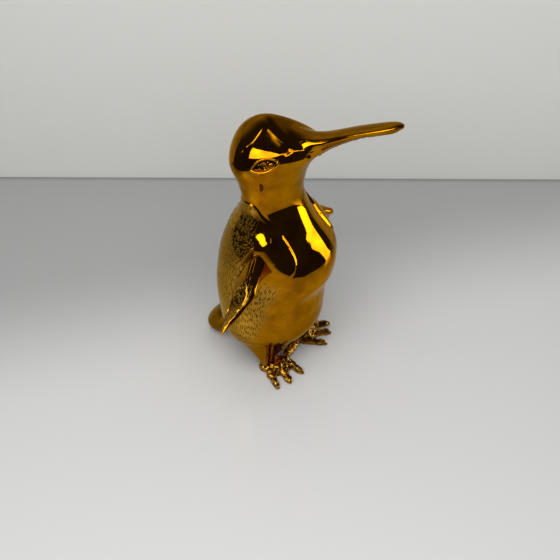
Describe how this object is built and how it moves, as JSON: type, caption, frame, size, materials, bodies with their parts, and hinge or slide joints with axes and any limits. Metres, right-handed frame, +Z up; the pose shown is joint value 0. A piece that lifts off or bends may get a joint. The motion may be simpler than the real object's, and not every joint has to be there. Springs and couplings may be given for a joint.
{
  "type": "brass penguin figurine",
  "caption": "Free-standing polished brass penguin with a raised bill, flared wings, toed feet and a short tail that rests on the ground.",
  "frame": {"origin": "on the ground under the centre of the figure's box", "axes": "+X forward, the way the bill points; +Y to the bird's left; +Z up"},
  "size_m": [0.1088, 0.1248, 0.1562],
  "materials": {
    "polished_brass": "mirror polished under amber lacquer",
    "chased_brass": "polished, with chased feather strokes, under amber lacquer",
    "cast_brass": "as cast, bright on the high spots",
    "engraved_brass": "polished, with an engraved iris"
  },
  "bodies": {
    "root": {"body_shell": "chased_brass", "head_shell": "polished_brass", "wing_left": "chased_brass", "wing_right": "chased_brass", "tail": "chased_brass", "feet": "cast_brass", "eye_left": "engraved_brass", "eye_right": "engraved_brass"}
  },
  "joints": []
}
